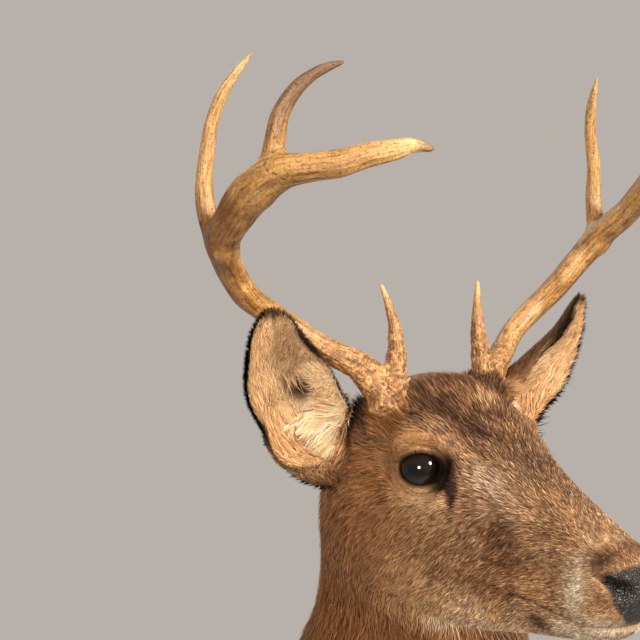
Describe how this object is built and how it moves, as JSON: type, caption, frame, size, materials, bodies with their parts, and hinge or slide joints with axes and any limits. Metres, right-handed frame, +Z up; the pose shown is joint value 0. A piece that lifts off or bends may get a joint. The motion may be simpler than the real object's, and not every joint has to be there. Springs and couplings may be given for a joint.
{
  "type": "whitetail buck shoulder mount",
  "caption": "Life-size shoulder mount of a whitetail buck, head turned to its left, with antlers, cupped ears, glass eyes and a flat wooden wall board.",
  "frame": {"origin": "centre of the wall board's flat back face", "axes": "+Z up, +X to the viewer's right, +Y into the wall; the mount reaches towards -Y"},
  "size_m": [0.4087, 0.5722, 0.9136],
  "materials": {
    "hide": "short grey-brown winter coat, darker on the forehead, white on the throat and chin",
    "antler": "tan antler bone, beaded and stained brown low down, ivory at the tips",
    "eye_glass": "near-black glass eye, highly polished",
    "nose_leather": "black pebbled nose pad, slightly moist",
    "board_wood": "plain plywood, sealed"
  },
  "bodies": {
    "root": {"backboard": "board_wood", "shoulders": "hide", "neck": "hide", "head": "hide", "ear_right": "hide", "ear_left": "hide", "eye_right": "eye_glass", "eye_left": "eye_glass", "antler_right_beam_lower": "antler", "antler_right_beam_middle": "antler", "antler_right_beam_end": "antler", "antler_right_brow_tine": "antler", "antler_right_second_tine": "antler", "antler_right_third_tine": "antler", "antler_left_beam_lower": "antler", "antler_left_beam_middle": "antler", "antler_left_beam_end": "antler", "antler_left_brow_tine": "antler", "antler_left_second_tine": "antler", "antler_left_third_tine": "antler"}
  },
  "joints": []
}
